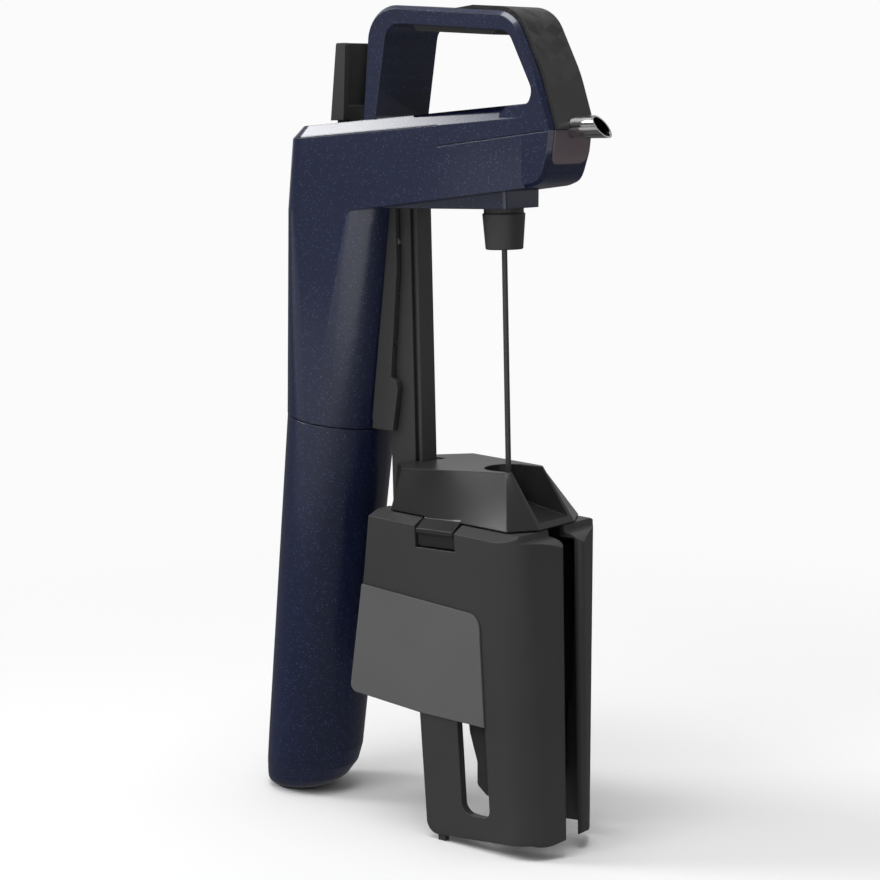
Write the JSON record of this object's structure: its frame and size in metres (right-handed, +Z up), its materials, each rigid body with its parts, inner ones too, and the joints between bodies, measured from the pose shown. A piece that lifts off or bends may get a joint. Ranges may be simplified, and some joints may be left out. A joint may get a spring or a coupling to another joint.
{
  "type": "wine preservation dispenser",
  "caption": "Hand-held wine preservation dispenser that pours through a hollow needle: leaning gas column, looped handle, trigger, spout and a sliding bottle-neck clamp.",
  "frame": {"origin": "on the surface it stands on, under the centre of its bounding box", "axes": "+Z up, +X forward towards the spout, +Y to its left; the middle plane is Y = 0"},
  "size_m": [0.117, 0.0394, 0.2242],
  "materials": {
    "painted_shell": "glossy navy paint with fine pale blue flake",
    "black_plastic": "satin moulded black plastic",
    "grey_pad": "matt mid-grey, bare",
    "soft_grip": "soft-touch black with shallow facets",
    "gloss_panel": "glossy smoked black",
    "rubber": "matt black rubber",
    "needle_steel": "dark coated steel",
    "chrome_spout": "polished chrome",
    "steel": "plain steel",
    "metal_body": "machined aluminium",
    "bush_plastic": "plain black plastic"
  },
  "bodies": {
    "frame": {"capsule_seal": "rubber", "ferrule": "black_plastic", "front_panel": "gloss_panel", "gas_tube": "needle_steel", "grip": "soft_grip", "grip_liner": "black_plastic", "handle_housing": "painted_shell", "housing_screws": "steel", "main_housing": "painted_shell", "needle": "needle_steel", "needle_hub": "metal_body", "needle_seal": "rubber", "piercing_pin": "steel", "rail": "black_plastic", "rail_bracket": "black_plastic", "rail_screws": "steel", "rail_stop": "black_plastic", "regulator_body": "metal_body", "regulator_spring": "steel", "spout_bush": "bush_plastic", "spout_tube": "chrome_spout", "trigger_pin": "steel", "trigger_spring": "steel", "under_cover": "painted_shell", "valve_body": "metal_body", "valve_spring": "steel", "wine_hose": "rubber"},
    "carriage": {"clamp_block": "black_plastic", "guide_bush": "bush_plastic", "neck_stop": "rubber", "carriage_shoe": "black_plastic", "hinge_pin_right": "steel", "hinge_pin_left": "steel", "arm_spring_right": "steel", "arm_spring_left": "steel"},
    "right_arm": {"clamp_arm_right": "black_plastic", "finger_pad_right": "grey_pad", "neck_jaw_right": "rubber"},
    "left_arm": {"clamp_arm_left": "black_plastic", "finger_pad_left": "grey_pad", "neck_jaw_left": "rubber"},
    "lever": {"trigger": "black_plastic"},
    "plunger": {"valve_plunger": "steel"},
    "capsule": {"argon_capsule": "steel"},
    "cup": {"capsule_cup": "painted_shell", "cup_pad": "rubber"},
    "piston": {"regulator_piston": "steel"}
  },
  "joints": [
    {"name": "carriage_slide", "type": "slide", "parent": "frame", "child": "carriage", "axis": [-0.0297, 0, 0.9996], "range_m": [0, 0.064]},
    {"name": "right_arm_hinge", "type": "hinge", "parent": "carriage", "child": "right_arm", "pos_m": [0.01764, -0.0166, 0.07611], "axis": [0.0297, 0, -0.9996], "range_deg": [0, 10], "stiffness_Nm_per_rad": 0.3, "springref_deg": -11.46, "deforming": ["arm_spring_right"]},
    {"name": "left_arm_hinge", "type": "hinge", "parent": "carriage", "child": "left_arm", "pos_m": [0.01764, 0.0166, 0.07611], "axis": [-0.0297, 0, 0.9996], "range_deg": [0, 10], "stiffness_Nm_per_rad": 0.3, "springref_deg": -11.46, "deforming": ["arm_spring_left"]},
    {"name": "trigger_hinge", "type": "hinge", "parent": "frame", "child": "lever", "pos_m": [-0.02691, 0, 0.18484], "axis": [0, 1, 0], "range_deg": [0, 9], "stiffness_Nm_per_rad": 0.2, "springref_deg": -11.46, "deforming": ["trigger_spring"]},
    {"name": "plunger_slide", "type": "slide", "parent": "frame", "child": "plunger", "axis": [0.0297, 0, -0.9996], "range_m": [0, 0.0011], "deforming": ["valve_spring"]},
    {"name": "capsule_slide", "type": "slide", "parent": "frame", "child": "capsule", "axis": [-0.1123, 0, -0.9937], "range_m": [0, 0.006]},
    {"name": "cup_turn", "type": "hinge", "parent": "capsule", "child": "cup", "pos_m": [-0.03798, 0, 0.06096], "axis": [-0.1123, 0, -0.9937], "range_deg": [0, 720]},
    {"name": "piston_slide", "type": "slide", "parent": "frame", "child": "piston", "axis": [0.1123, 0, 0.9937], "range_m": [0, 0.0008], "stiffness_N_per_m": 2000, "springref_m": -0.001, "deforming": ["regulator_spring"]}
  ],
  "couplings": [
    {"joint": "plunger_slide", "follows": "trigger_hinge", "m_per_rad": 0.007},
    {"joint": "cup_turn", "follows": "capsule_slide", "rad_per_m": 2094.4}
  ]
}
